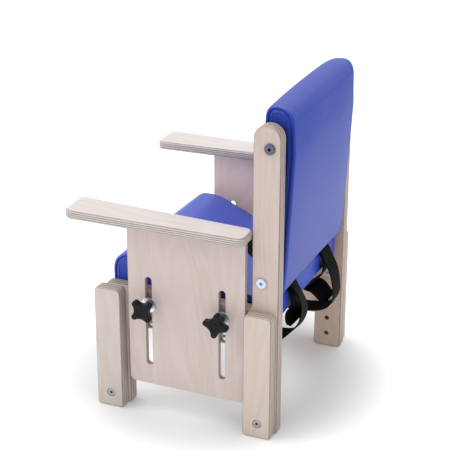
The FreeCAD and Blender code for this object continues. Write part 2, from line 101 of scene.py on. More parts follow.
# ---------------------------------------------------------------- node helpers
class Mat:
    """A material and short names for the nodes it is made of."""

    def __init__(self, name):
        self.mat = bpy.data.materials.new(name)
        self.mat.use_nodes = True
        self.t = self.mat.node_tree
        self.t.nodes.clear()
        self.out = self.t.nodes.new("ShaderNodeOutputMaterial")
        self.bsdf = self.t.nodes.new("ShaderNodeBsdfPrincipled")
        self.t.links.new(self.bsdf.outputs[0], self.out.inputs["Surface"])

    def put(self, socket, value):
        if isinstance(value, bpy.types.NodeSocket):
            self.t.links.new(value, socket)
        elif isinstance(value, (tuple, list)) and len(value) == 3 and socket.type == "RGBA":
            socket.default_value = (*value, 1.0)
        else:
            socket.default_value = value

    def set(self, **values):
        for k, v in values.items():
            self.put(self.bsdf.inputs[k.replace("_", " ")], v)

    def node(self, kind, **props):
        n = self.t.nodes.new("ShaderNode" + kind)
        for k, v in props.items():
            setattr(n, k, v)
        return n

    def math(self, op, a, b=None, c=None, clamp=False):
        n = self.node("Math", operation=op, use_clamp=clamp)
        for s, v in zip(n.inputs, (a, b, c)):
            if v is not None:
                self.put(s, v)
        return n.outputs[0]

    def vec(self, x, y, z):
        n = self.node("CombineXYZ")
        for s, v in zip(n.inputs, (x, y, z)):
            self.put(s, v)
        return n.outputs[0]

    def xyz(self, v):
        n = self.node("SeparateXYZ")
        self.put(n.inputs[0], v)
        return n.outputs

    def noise(self, v, scale=1.0, detail=2.0, rough=0.5, distort=0.0):
        n = self.node("TexNoise")
        for k, x in (("Vector", v), ("Scale", scale), ("Detail", detail), ("Roughness", rough), ("Distortion", distort)):
            self.put(n.inputs[k], x)
        return n.outputs[0]

    def voronoi(self, v, scale, feature="F1", randomness=1.0):
        n = self.node("TexVoronoi", feature=feature)
        for k, x in (("Vector", v), ("Scale", scale), ("Randomness", randomness)):
            self.put(n.inputs[k], x)
        return n.outputs[0]

    def mix(self, f, a, b, blend="MIX"):
        n = self.node("Mix", data_type="RGBA", blend_type=blend)
        self.put(n.inputs[0], f)
        self.put(n.inputs[6], a)
        self.put(n.inputs[7], b)
        return n.outputs[2]

    def range(self, v, a, b, c, d, smooth=False):
        n = self.node("MapRange", interpolation_type="SMOOTHSTEP" if smooth else "LINEAR")
        for s, x in zip(n.inputs, (v, a, b, c, d)):
            self.put(s, x)
        return n.outputs[0]

    def bump(self, height, strength, distance, normal=None):
        n = self.node("Bump")
        n.inputs["Strength"].default_value = strength
        n.inputs["Distance"].default_value = distance
        self.put(n.inputs["Height"], height)
        if normal is not None:
            self.put(n.inputs["Normal"], normal)
        return n.outputs[0]


# ---------------------------------------------------------------- plywood
PLY_LIGHT, PLY_MID, PLY_DARK = (0.655, 0.565, 0.528), (0.545, 0.445, 0.402), (0.430, 0.322, 0.270)
EDGE_LIGHT, EDGE_WARM, EDGE_DARK, EDGE_GLUE = (0.640, 0.560, 0.520), (0.520, 0.430, 0.390), (0.190, 0.140, 0.115), (0.120, 0.082, 0.066)


def plywood(name, axis, lo, hi, plies, grain, seed, lean=0.0, tint=(1.0, 1.0, 1.0), contrast=0.40, wear_and_painted_shade=None, painted_inner_light=None):
    """Birch plywood as a solid texture: plies stacked along axis, outer grain along grain."""
    m = Mat(name)
    light, mid, deep, e_light, e_warm, e_dark, e_glue = [
        tuple(a * b for a, b in zip(col, tint)) for col in (PLY_LIGHT, PLY_MID, PLY_DARK, EDGE_LIGHT, EDGE_WARM, EDGE_DARK, EDGE_GLUE)]
    tex = m.node("TexCoord")
    c = m.xyz(tex.outputs["Object"])
    other = 3 - axis - grain
    t = m.range(c[axis], lo, hi, 0.0, float(plies))
    t = m.math("MINIMUM", m.math("MAXIMUM", t, 0.002), plies - 0.002)
    wob = m.noise(m.vec(m.math("MULTIPLY", c[other], 26.0), float(seed), m.math("MULTIPLY", c[grain], 26.0)), 1.0, 2.0, 0.5)
    t_edge = m.math("ADD", t, m.math("MULTIPLY", m.math("SUBTRACT", wob, 0.5), 0.22))
    layer = m.math("FLOOR", t_edge)
    frac = m.math("FRACT", t_edge)
    odd = m.math("MODULO", m.math("MAXIMUM", layer, 0.0), 2.0)

    # face: long fibres, soft flame figure and a slow drift of tone
    across = m.math("ADD", c[other], m.math("MULTIPLY", c[grain], lean))
    fib = m.noise(m.vec(m.math("MULTIPLY", across, 520.0), m.math("MULTIPLY", c[axis], 300.0), m.math("MULTIPLY_ADD", c[grain], 17.0, seed * 3.1)), 1.0, 5.0, 0.62)
    slow = m.noise(m.vec(m.math("MULTIPLY", across, 15.0), m.math("MULTIPLY", c[axis], 4.0), m.math("MULTIPLY_ADD", c[grain], 2.6, seed * 7.7)), 1.0, 2.5, 0.5, 0.5)
    rings = m.math("SINE", m.math("MULTIPLY", slow, 58.0))
    rings = m.math("MULTIPLY_ADD", rings, 0.5, 0.5)
    tone = m.noise(m.vec(m.math("MULTIPLY", across, 9.0), 2.0 + seed, m.math("MULTIPLY", c[grain], 3.5)), 1.0, 1.5, 0.5)
    fleck = m.noise(m.vec(m.math("MULTIPLY", across, 900.0), m.math("MULTIPLY", c[axis], 300.0), m.math("MULTIPLY_ADD", c[grain], 120.0, seed * 1.7)), 1.0, 2.0, 0.5)
    fleck = m.range(fleck, 0.62, 0.74, 0.0, 1.0, True)
    f1 = m.math("ADD", m.math("MULTIPLY", fib, 0.72), m.math("MULTIPLY", rings, 0.28))
    f1 = m.math("ADD", f1, m.math("MULTIPLY_ADD", tone, 0.9, -0.55), clamp=True)
    face = m.mix(f1, light, mid)
    face = m.mix(m.math("MULTIPLY", fleck, 0.22), face, deep)

    if wear_and_painted_shade is not None:
        # painted shade: the outer face of the rail, seen through the slots behind the panel, is darkened and warmed to
        # stand in for the shade and warm bounce light there
        y0, y1, z0, z1 = wear_and_painted_shade
        area = m.math("MULTIPLY", m.range(c[1], y0, y0 + 0.006, 0.0, 1.0, True), m.range(c[1], y1, y1 - 0.006, 0.0, 1.0, True))
        area = m.math("MULTIPLY", area, m.math("MULTIPLY", m.range(c[2], z0, z0 + 0.006, 0.0, 1.0, True), m.range(c[2], z1, z1 - 0.006, 0.0, 1.0, True)))
        face = m.mix(m.math("MULTIPLY", area, m.math("MULTIPLY_ADD", fib, 0.3, 0.55), clamp=True), face, tuple(a * b for a, b in zip(mid, (0.66, 0.52, 0.40))))

    # edges: plies alternate between long grain and end grain, with thin glue lines
    n = m.xyz(tex.outputs["Normal"])
    end = m.range(m.math("ABSOLUTE", n[grain]), 0.55, 0.85, 0.0, 1.0, True)
    dark = m.math("ABSOLUTE", m.math("SUBTRACT", m.math("SUBTRACT", 1.0, odd), end))
    pores = m.noise(m.vec(m.math("MULTIPLY", c[other], 900.0), m.math("MULTIPLY", c[axis], 700.0), m.math("MULTIPLY", c[grain], 900.0)), 1.0, 3.0, 0.6)
    streak = m.noise(m.vec(m.math("MULTIPLY", c[other], 60.0), m.math("MULTIPLY", layer, 5.3), m.math("MULTIPLY", c[grain], 60.0)), 1.0, 3.0, 0.6)
    light_ply = m.mix(m.math("ADD", m.math("MULTIPLY", streak, 0.7), m.math("MULTIPLY", pores, 0.2)), e_light, e_warm)
    dark_ply = m.mix(m.math("ADD", m.math("MULTIPLY", streak, 0.9), m.math("MULTIPLY_ADD", pores, 0.6, 0.0), clamp=True), e_warm, e_dark)
    edge = m.mix(m.math("MULTIPLY", dark, contrast), light_ply, dark_ply)
    glue = m.range(m.math("ABSOLUTE", m.math("SUBTRACT", frac, 0.5)), 0.36, 0.47, 0.0, 0.76, True)
    edge = m.mix(glue, edge, e_glue)
    if painted_inner_light is not None:
        # painted light: the face turned to the sitter is brightened, standing in for light on this shaded inner face
        face = m.mix(m.range(n[axis], 0.5, 0.9, 0.0, 1.0, True), face, m.mix(1.0, face, painted_inner_light, "MULTIPLY"))
    flat = m.range(m.math("ABSOLUTE", n[axis]), 0.90, 0.975, 0.0, 1.0, True)
    col = m.mix(flat, edge, face)

    height = m.math("SUBTRACT", m.math("MULTIPLY", fib, 0.6), m.math("MULTIPLY", fleck, 0.5))
    height = m.math("ADD", height, m.math("MULTIPLY", pores, 0.25))
    m.set(
        Base_Color=col,
        Roughness=m.math("MULTIPLY_ADD", fib, 0.22, 0.36),
        Normal=m.bump(height, 0.32, 0.00012),
    )
    m.bsdf.inputs["IOR"].default_value = 1.48
    m.bsdf.inputs["Specular IOR Level"].default_value = 0.55
    return m.mat


# ---------------------------------------------------------------- vinyl, webbing, steel, plastic
def vinyl(name, seed, gloss, gloss_top, gap_shade_axis, gap_shade_lo, gap_shade_hi, level, high, rear, ior):
    m = Mat(name)
    tex = m.node("TexCoord")
    p = tex.outputs["Object"]
    c = m.xyz(p)
    big = m.noise(p, 7.0 + seed, 2.0, 0.5)
    fine = m.noise(p, 190.0, 3.0, 0.6)
    col = m.mix(m.math("MULTIPLY_ADD", fine, 0.35, m.math("MULTIPLY", big, 0.5), clamp=True), tuple(level * x for x in (0.026, 0.058, 0.385)), tuple(level * x for x in (0.031, 0.069, 0.435)))
    # painted shade: the side boxing is darkened towards the seat's rear and the back's bottom, where it sits in the
    # shade next to the side boards
    nx = m.math("ABSOLUTE", m.xyz(tex.outputs["Normal"])[0])
    gap_shade = m.range(m.xyz(p)[gap_shade_axis], gap_shade_lo, gap_shade_hi, 0.0, 0.62, True)
    gap_shade = m.math("MULTIPLY", gap_shade, m.range(nx, 0.55, 0.95, 0.0, 1.0, True))
    col = m.mix(gap_shade, col, (0.003, 0.005, 0.040))
    cells = m.voronoi(p, 1150.0, "DISTANCE_TO_EDGE")
    cells = m.range(cells, 0.0, 0.14, 0.0, 1.0, True)
    grain = m.math("ADD", m.math("MULTIPLY", cells, 0.8), m.math("MULTIPLY", m.noise(p, 420.0, 3.0, 0.6), 0.6))
    # soft creases where the cover is pulled over the top of the back
    crease = m.noise(m.vec(m.math("MULTIPLY", c[0], 17.0), m.math("MULTIPLY", c[1], 40.0), m.math("MULTIPLY", c[2], 54.0)), 1.0, 2.0, 0.5, 0.6)
    crease = m.math("MULTIPLY", crease, m.range(c[2], 0.41, 0.50, 0.15, 1.0, True))
    m.set(
        Base_Color=col,
        Roughness=m.math("ADD", m.math("MULTIPLY", fine, 0.10), m.math("MULTIPLY_ADD", big, 0.08, 0.30)),
        Normal=m.bump(grain, 0.16, 0.00010, m.bump(crease, 0.5, 0.0014)),
    )
    m.bsdf.inputs["IOR"].default_value = ior
    # painted reflection: top-facing cover reflects more than the sides, the sides more towards the top and, on the
    # seat, less at the rear; this stands in for how light falls
    up = m.xyz(tex.outputs["Normal"])[2]
    side = m.range(c[2], 0.31, 0.50, gloss, gloss * high, True)
    side = m.math("MULTIPLY", side, m.range(c[1], 0.140, 0.150, 1.0, rear, True))
    top = m.range(up, 0.15, 0.85, 0.0, 1.0, True)
    m.set(Specular_IOR_Level=m.math("ADD", m.math("MULTIPLY", side, m.math("SUBTRACT", 1.0, top)), m.math("MULTIPLY", top, gloss_top)))
    return m.mat


def webbing(name):
    """Black woven strap: the weave follows the strap's own length and width."""
    m = Mat(name)
    at = m.node("Attribute", attribute_name="weave", attribute_type="GEOMETRY")
    c = m.xyz(at.outputs["Vector"])
    u = m.math("MULTIPLY", c[0], 2 * math.pi / 0.0026)
    v = m.math("MULTIPLY", c[1], 2 * math.pi / 0.0032)
    a = m.math("SINE", u)
    b = m.math("SINE", m.math("ADD", v, m.math("MULTIPLY", m.math("SIGN", a), math.pi / 2)))
    weave = m.math("MULTIPLY_ADD", m.math("MULTIPLY", m.math("ABSOLUTE", a), b), 0.5, 0.5)
    tex = m.node("TexCoord")
    fuzz = m.noise(tex.outputs["Object"], 1400.0, 3.0, 0.7)
    wear_and_painted_shade = m.noise(tex.outputs["Object"], 45.0, 2.0, 0.5)
    f = m.math("ADD", m.math("MULTIPLY", weave, 0.55), m.math("MULTIPLY_ADD", fuzz, 0.5, m.math("MULTIPLY_ADD", wear_and_painted_shade, 0.5, -0.35)), clamp=True)
    # box stitch that holds the hem at the strap's free end
    across, along = m.math("ABSOLUTE", c[1]), c[0]
    def line(v, at, half):
        return m.math("SUBTRACT", 1.0, m.range(m.math("ABSOLUTE", m.math("SUBTRACT", v, at)), half * 0.6, half, 0.0, 1.0, True))
    rows = m.math("MAXIMUM", line(along, 0.004, 0.0006), line(along, 0.024, 0.0006))
    rows = m.math("MULTIPLY", rows, m.math("LESS_THAN", across, 0.0165))
    cols = m.math("MULTIPLY", line(across, 0.016, 0.0006), m.math("MULTIPLY", m.math("GREATER_THAN", along, 0.004), m.math("LESS_THAN", along, 0.024)))
    dash = m.math("GREATER_THAN", m.math("SINE", m.math("MULTIPLY", m.math("ADD", along, c[1]), 2 * math.pi / 0.0036)), -0.5)
    stitch = m.math("MULTIPLY", m.math("MAXIMUM", rows, cols), dash)
    weave = m.math("ADD", weave, stitch)
    m.set(
        Base_Color=m.mix(stitch, m.mix(f, (0.0022, 0.0023, 0.0029), (0.0082, 0.0084, 0.0104)), (0.028, 0.028, 0.031)),
        Roughness=m.math("MULTIPLY_ADD", fuzz, 0.2, 0.60),
        Normal=m.bump(m.math("MULTIPLY_ADD", fuzz, 0.3, weave), 0.55, 0.00030),
    )
    m.bsdf.inputs["IOR"].default_value = 1.5
    m.bsdf.inputs["Specular IOR Level"].default_value = 0.045
    m.bsdf.inputs["Sheen Weight"].default_value = 0.003
    m.bsdf.inputs["Sheen Roughness"].default_value = 0.4
    return m.mat


def steel(name, tint=(0.660, 0.670, 0.690), rough=0.24, dark_above=None):
    m = Mat(name)
    tex = m.node("TexCoord")
    c = m.xyz(tex.outputs["Object"])
    spots = m.noise(tex.outputs["Object"], 320.0, 3.0, 0.6)
    brush = m.noise(m.vec(m.math("MULTIPLY", c[0], 900.0), m.math("MULTIPLY", c[1], 260.0), m.math("MULTIPLY", c[2], 900.0)), 1.0, 3.0, 0.6)
    col = m.mix(spots, tint, tuple(0.84 * x for x in tint))
    # painted reflection: above the height dark_above the heads get a dark slate colour, standing in for the dark
    # surroundings they reflect
    if dark_above is not None:
        high = m.range(c[2], dark_above - 0.002, dark_above + 0.002, 0.0, 1.0)
        col = m.mix(high, col, m.mix(spots, (0.140, 0.155, 0.190), (0.085, 0.095, 0.120)))
    m.set(
        Base_Color=col,
        Roughness=m.math("MULTIPLY_ADD", spots, 0.18, rough - 0.06),
        Normal=m.bump(m.math("MULTIPLY_ADD", spots, 0.4, brush), 0.10, 0.00006),
    )
    m.bsdf.inputs["Metallic"].default_value = 1.0
    return m.mat


def plastic(name, dark, light, rough=0.36, gloss=0.5):
    m = Mat(name)
    tex = m.node("TexCoord")
    fine = m.noise(tex.outputs["Object"], 1500.0, 2.0, 0.6)
    slow = m.noise(tex.outputs["Object"], 60.0, 2.0, 0.5)
    m.set(
        Base_Color=m.mix(m.math("MULTIPLY_ADD", fine, 0.4, m.math("MULTIPLY", slow, 0.5), clamp=True), dark, light),
        Roughness=m.math("MULTIPLY_ADD", slow, 0.16, rough - 0.06),
        Normal=m.bump(fine, 0.22, 0.00008),
    )
    m.bsdf.inputs["IOR"].default_value = 1.49
    m.bsdf.inputs["Specular IOR Level"].default_value = gloss
    return m.mat


def assign(obj, mat):
    obj.data.materials.clear()
    obj.data.materials.append(mat)


# board: (node, thickness axis, plies, grain axis, lean of the figure)
BOARDS = [
    ("left_side_frame", 0, 7, 2, 0.06), ("right_side_frame", 0, 7, 2, -0.04),
    ("front_left_leg_board", 0, 7, 2, 0.05), ("front_right_leg_board", 0, 7, 2, -0.08),
    ("rear_left_leg_board", 0, 7, 2, -0.16), ("rear_right_leg_board", 0, 7, 2, 0.05),
    ("left_side_panel", 0, 5, 2, 0.10), ("right_side_panel", 0, 5, 2, -0.05),
    ("left_armrest", 2, 9, 1, 0.03), ("right_armrest", 2, 9, 1, -0.05),
    ("front_cross_rail", 1, 9, 0, 0.0), ("rear_cross_rail", 1, 9, 0, 0.0),
    ("seat_board", 2, 7, 1, 0.0), ("back_board", 1, 9, 2, 0.0),
]
# painted light and shade: these per-board factors make some boards lighter or darker, standing in for how light falls
# on each
PAINTED_LIGHT_TINTS = {
    "right_side_frame": (0.91, 0.81, 0.71), "right_side_panel": (0.95, 0.935, 0.93), "left_armrest": (1.00, 1.07, 1.10), "right_armrest": (1.08, 1.17, 1.21),
    "left_side_frame": (0.86, 0.83, 0.805), "left_side_panel": (0.90, 0.885, 0.89),
    "front_left_leg_board": (0.86, 0.875, 0.885), "rear_left_leg_board": (0.895, 0.905, 0.845),
}
# the last two arguments paint shade on the rails of the side frames and light on the inner face of the right side panel
for i, (node, axis, plies, grain, lean) in enumerate(BOARDS):
    lo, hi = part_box(node)
    assign(NODES[node], plywood("birch_" + node, axis, lo[axis], hi[axis], plies, grain, 3.0 + 5.7 * i, lean, PAINTED_LIGHT_TINTS.get(node, (1.0, 1.0, 1.0)), 0.85 if "arm" in node or "side_frame" in node else 0.66, (-0.083, 0.100, 0.140, 0.212) if "side_frame" in node else None, (1.43, 1.37, 1.31) if node == "right_side_panel" else None))

MAT_STEEL = steel("zinc_steel")
# painted reflection: the blue-white tints of the washers, clamp bolts and back bolts stand in for the sky they reflect
MAT_BRIGHT = steel("bright_washer", (0.80, 0.84, 0.92), 0.34)
MAT_BACK_BOLTS = steel("back_bolt_steel", (0.560, 0.630, 0.730), 0.24, dark_above=0.40)
MAT_DULL = steel("dull_steel", (0.430, 0.425, 0.420), 0.30)
MAT_KNOB = plastic("knob_plastic", (0.0030, 0.0030, 0.0045), (0.0070, 0.0070, 0.0095), 0.30, 0.16)
MAT_NYLON = plastic("white_nylon", (0.60, 0.60, 0.58), (0.70, 0.70, 0.68), 0.42)
# painted light: seat and back are one vinyl, made brighter on the seat and darker on the back, with different gloss and
# IOR, to stand in for how light falls on each
MAT_VINYL_SEAT = vinyl("vinyl_seat", 0.0, 0.30, 1.0, 1, -0.06, 0.03, 1.16, 1.0, 0.30, 1.57)
MAT_VINYL_BACK = vinyl("vinyl_back", 0.7, 0.20, 0.82, 2, 0.525, 0.490, 0.92, 0.32, 1.0, 1.50)
MAT_WEB = webbing("black_webbing")

for name, obj in NODES.items():
    if name.endswith("_washer"):
        assign(obj, MAT_BRIGHT)
    elif name.endswith("_knob"):
        assign(obj, MAT_KNOB)
    elif name == "leg_clamp_bolts":
        assign(obj, MAT_BRIGHT)
    elif name == "back_bolts":
        assign(obj, MAT_BACK_BOLTS)
    elif name == "leg_foot_bolts":
        assign(obj, MAT_DULL)
    elif name == "back_spacers":
        assign(obj, MAT_NYLON)
    elif any(w in name for w in ("bolts", "inserts", "nuts", "screws", "stud", "bars")):
        assign(obj, MAT_STEEL)
    elif "cushion" in name:
        assign(obj, MAT_VINYL_SEAT)
    elif "strap" in name:
        assign(obj, MAT_WEB)


# ---------------------------------------------------------------- mesh helpers
def make_object(name, verts, faces, mat, smooth=True):
    me = bpy.data.meshes.new(name)
    me.from_pydata([tuple(map(float, v)) for v in verts], [], [tuple(map(int, f)) for f in faces])
    me.validate()
    if smooth:
        me.polygons.foreach_set("use_smooth", [True] * len(me.polygons))
    me.update()
    ob = bpy.data.objects.new(name, me)
    SCENE.collection.objects.link(ob)
    me.materials.append(mat)
    return ob


def outline(corners, inset, per_arc, per_line):
    """Closed outline with rounded corners, moved inwards by inset.  Points correspond for every inset."""
    n = len(corners)
    pts = np.array([c[:2] for c in corners], float)
    area = 0.5 * sum(pts[i][0] * pts[(i + 1) % n][1] - pts[(i + 1) % n][0] * pts[i][1] for i in range(n))
    sign = 1.0 if area > 0 else -1.0
    dirs = [(pts[(i + 1) % n] - pts[i]) / np.linalg.norm(pts[(i + 1) % n] - pts[i]) for i in range(n)]
    inward = [np.array([-d[1], d[0]]) * sign for d in dirs]
    new = []
    for i in range(n):
        a, b = inward[i - 1], inward[i]
        k = 1.0 + float(a @ b)
        new.append(pts[i] + (a + b) / k * inset)
    ends = []
    for i in range(n):
        d0, d1 = dirs[i - 1], dirs[i]
        cross = (d0[0] * d1[1] - d0[1] * d1[0]) * sign
        r = corners[i][2] - inset if cross > 0 else corners[i][2] + inset
        r = max(r, 0.35)
        turn = math.acos(max(-1.0, min(1.0, float(d0 @ d1))))
        tl = r * math.tan(turn / 2)
        a, b = new[i] - d0 * tl, new[i] + d1 * tl
        nrm = np.array([-d0[1], d0[0]]) * (1 if d0[0] * d1[1] - d0[1] * d1[0] > 0 else -1)
        cen = a + nrm * r
        th0 = math.atan2(*(a - cen)[::-1])
        sweep = turn * (1 if d0[0] * d1[1] - d0[1] * d1[0] > 0 else -1)
        ends.append([cen + r * np.array([math.cos(th0 + sweep * k / per_arc), math.sin(th0 + sweep * k / per_arc)]) for k in range(per_arc + 1)])
    out = []
    for i in range(n):
        out += ends[i]
        a, b = ends[i][-1], ends[(i + 1) % n][0]
        out += [a + (b - a) * k / per_line for k in range(1, per_line)]
    return np.array(out)


def at_index(loop, idx):
    """Points of a closed loop at fractional indices."""
    idx = np.asarray(idx, float) % len(loop)
    i = np.floor(idx).astype(int)
    f = (idx - i)[:, None]
    return loop[i] * (1 - f) + loop[(i + 1) % len(loop)] * f


def spaced(loop, i0, i1, n):
    """n + 1 fractional indices from i0 to i1, even in length."""
    if i1 <= i0:
        i1 += len(loop)
    dense = np.linspace(i0, i1, int((i1 - i0) * 8) + 1)
    p = at_index(loop, dense)
    s = np.concatenate([[0], np.cumsum(np.linalg.norm(np.diff(p, axis=0), axis=1))])
    return np.interp(np.linspace(0, s[-1], n + 1), s, dense)


class Pad:
    """A boxed cushion: a cover that runs round a side outline, rolls over at both ends to a
    sewn seam, and a boxing panel inside each seam.  Bottom edges are square, where the cover
    is pulled under and fixed."""

    def __init__(self, corners, sides, counts, half_x, roll, stations, extra_phi=()):
        per_arc, per_line = 8, 12
        self.loops = {}
        self.make = lambda d: self.loops.setdefault(round(d, 4), outline(corners, d, per_arc, per_line))
        base = self.make(0.0)
        step = per_arc + per_line
        mid = [i * step + per_arc / 2 for i in range(len(corners))]
        self.idx, self.side_start = [], []
        for (c0, c1), n in zip(sides, counts):
            self.side_start.append(len(self.idx))
            self.idx += list(spaced(base, mid[c0], mid[c1], n)[:-1])
        self.idx = np.array(self.idx)
        self.counts = counts
        self.n = len(self.idx)
        self.half_x, self.roll = half_x, roll
        xr = half_x - roll
        rings = [(x, 0.0, 0.0) for x in np.linspace(0, xr, stations + 1)]
        for phi in sorted([18, 36, 54, 70, 84] + list(extra_phi)):
            a = math.radians(phi)
            rings.append((xr + roll * math.sin(a), roll * (1 - math.cos(a)), 0.0))
        # seam groove, then the boxing's own edge
        rings += [
            (half_x - 0.7, roll + 0.25, 1.0), (half_x - 2.9, roll + 0.70, 1.0), (half_x - 2.9, roll + 1.70, 1.0),
            (half_x - 0.8, roll + 2.15, 1.0), (half_x - 0.35, roll + 3.2, 1.0), (half_x - 0.2, roll + 5.6, 1.0),
        ]
        self.half_rings = rings
        self.seam_from = len(rings) - 6

    def build(self, bottom_side, bottom_fade, dome):
        """bottom_side: which side is the flat bottom; bottom_fade(b) says 0 on it, 1 away from it."""
        base = at_index(self.make(0.0), self.idx)
        w = np.array([bottom_fade(p) for p in base])[:, None]
        verts, ring_id = [], []
        rings = [(-x, d, g, k) for k, (x, d, g) in list(enumerate(self.half_rings))[::-1]] + [(x, d, g, k) for k, (x, d, g) in list(enumerate(self.half_rings))[1:]]
        for x, d, g, k in rings:
            full = at_index(self.make(d), self.idx)
            low = at_index(self.make(max(0.0, d - self.roll)), self.idx)
            p = full * w + low * (1 - w)
            xs = np.full(self.n, x)
            if g:
                plain = math.copysign(self.half_x - 0.3, x)
                xs = xs * w[:, 0] + plain * (1 - w[:, 0])
            verts += [(xs[i], p[i, 0], p[i, 1]) for i in range(self.n)]
            ring_id += [k] * self.n
        faces = []
        for r in range(len(rings) - 1):
            for i in range(self.n):
                j = (i + 1) % self.n
                faces.append((r * self.n + i, r * self.n + j, (r + 1) * self.n + j, (r + 1) * self.n + i))
        # boxing: a smooth patch between the four sides of the last ring
        for end, r in ((-1, 0), (1, len(rings) - 1)):
            ring = [r * self.n + i for i in range(self.n)]
            a0, b0, c0, d0 = self.side_start
            na, nb = self.counts[0], self.counts[1]
            A = [ring[(a0 + k) % self.n] for k in range(na + 1)]
            B = [ring[(b0 + k) % self.n] for k in range(nb + 1)]
            C = [ring[(c0 + k) % self.n] for k in range(na + 1)][::-1]
            D = [ring[(d0 + k) % self.n] for k in range(nb + 1)][::-1]
            V = np.array(verts)
            grid = -np.ones((na + 1, nb + 1), int)
            grid[:, 0], grid[:, nb], grid[0, :], grid[na, :] = A, C, D, B
            p00, p10, p01, p11 = V[A[0]], V[A[-1]], V[C[0]], V[C[-1]]
            for i in range(1, na):
                for j in range(1, nb):
                    s, t = i / na, j / nb
                    q = (1 - t) * V[A[i]] + t * V[C[i]] + (1 - s) * V[D[j]] + s * V[B[j]]
                    q = q - ((1 - s) * (1 - t) * p00 + s * (1 - t) * p10 + (1 - s) * t * p01 + s * t * p11)
                    q[0] += end * dome * (1 - (2 * t - 1) ** 4) * (1 - (2 * s - 1) ** 8)
                    grid[i, j] = len(verts)
                    verts.append(tuple(q))
                    ring_id.append(99)
            for i in range(na):
                for j in range(nb):
                    f = (grid[i, j], grid[i + 1, j], grid[i + 1, j + 1], grid[i, j + 1])
                    faces.append(f if end < 0 else f[::-1])
        self.ring_id = np.array(ring_id)
        self.verts, self.faces = np.array(verts, float), faces
        return self


def outward(verts, faces):
    """Faces with their winding set so that the closed mesh's volume is positive."""
    v = np.asarray(verts)
    vol = 0.0
    for f in faces:
        a = v[f[0]]
        for k in range(1, len(f) - 1):
            vol += float(np.dot(a, np.cross(v[f[k]], v[f[k + 1]])))
    return faces if vol > 0 else [tuple(reversed(f)) for f in faces]


def swell(ob, pinned, pressure, cap, cap_at=None):
    """Cloth under pressure with the seams and fixed edges held; each point moves at most cap."""
    me = ob.data
    n = len(me.vertices)
    rest = np.zeros(n * 3)
    me.vertices.foreach_get("co", rest)
    rest = rest.reshape(-1, 3)
    nor = np.zeros(n * 3)
    me.vertices.foreach_get("normal", nor)
    nor = nor.reshape(-1, 3)
    group = ob.vertex_groups.new(name="held")
    for i in range(n):
        if pinned[i] > 0:
            group.add([i], float(pinned[i]), "REPLACE")
    mod = ob.modifiers.new("cloth", "CLOTH")
    s = mod.settings
    s.quality = 6
    s.mass = 0.35
    s.tension_stiffness = s.compression_stiffness = 24.0
    s.shear_stiffness = 10.0
    s.bending_stiffness = 3.0
    s.use_pressure = True
    s.uniform_pressure_force = pressure
    s.effector_weights.gravity = 0.0
    s.vertex_group_mass = "held"
    s.pin_stiffness = 1.0
    mod.collision_settings.use_collision = False
    mod.collision_settings.use_self_collision = False
    mod.point_cache.frame_start, mod.point_cache.frame_end = 1, 20
    SCENE.frame_start, SCENE.frame_end = 1, 20
    for f in range(1, 21):
        SCENE.frame_set(f)
    dg = bpy.context.evaluated_depsgraph_get()
    got = np.zeros(n * 3)
    ob.evaluated_get(dg).data.vertices.foreach_get("co", got)
    got = got.reshape(-1, 3)
    ob.modifiers.remove(mod)
    ob.vertex_groups.remove(group)
    SCENE.frame_set(1)
    move = got - rest
    out = (move * nor).sum(1)
    print("swell", ob.name, "largest move mm", round(float(np.abs(out).max()) * 1000, 2), "mean", round(float(out.mean()) * 1000, 2))
    limit = np.full(n, cap) if cap_at is None else cap_at
    out = limit * np.tanh(np.maximum(out, 0.0) / np.maximum(limit, 1e-9))
    # foam behind the cover takes out the small creases of the free cloth
    pairs = np.zeros(len(me.edges) * 2, int)
    me.edges.foreach_get("vertices", pairs)
    pairs = pairs.reshape(-1, 2)
    count = np.zeros(n)
    np.add.at(count, pairs[:, 0], 1.0)
    np.add.at(count, pairs[:, 1], 1.0)
    free = 1.0 - np.asarray(pinned)
    for _ in range(60):
        near = np.zeros(n)
        np.add.at(near, pairs[:, 0], out[pairs[:, 1]])
        np.add.at(near, pairs[:, 1], out[pairs[:, 0]])
        out = (0.4 * out + 0.6 * near / np.maximum(count, 1.0)) * free
    me.vertices.foreach_set("co", (rest + out[:, None] * nor).ravel())
    me.update()


def subdivide(ob, levels=1):
    mod = ob.modifiers.new("smooth", "SUBSURF")
    mod.levels = mod.render_levels = levels
    dg = bpy.context.evaluated_depsgraph_get()
    me = bpy.data.meshes.new_from_object(ob.evaluated_get(dg))
    old = ob.data
    ob.modifiers.clear()
    ob.data = me
    me.name = ob.name
    bpy.data.meshes.remove(old)
    me.polygons.foreach_set("use_smooth", [True] * len(me.polygons))


# ---------------------------------------------------------------- back cushion
TILT = math.radians(2.75)
PIVOT = (122.0, 260.4)


def back_row(p):
    """x, v (to the rear), u (up along the back) to the row frame."""
    p = np.asarray(p, float).reshape(-1, 3)
    y = PIVOT[0] + p[:, 2] * math.sin(TILT) + p[:, 1] * math.cos(TILT)
    z = PIVOT[1] + p[:, 2] * math.cos(TILT) - p[:, 1] * math.sin(TILT)
    return row(np.stack([p[:, 0], y, z], 1))


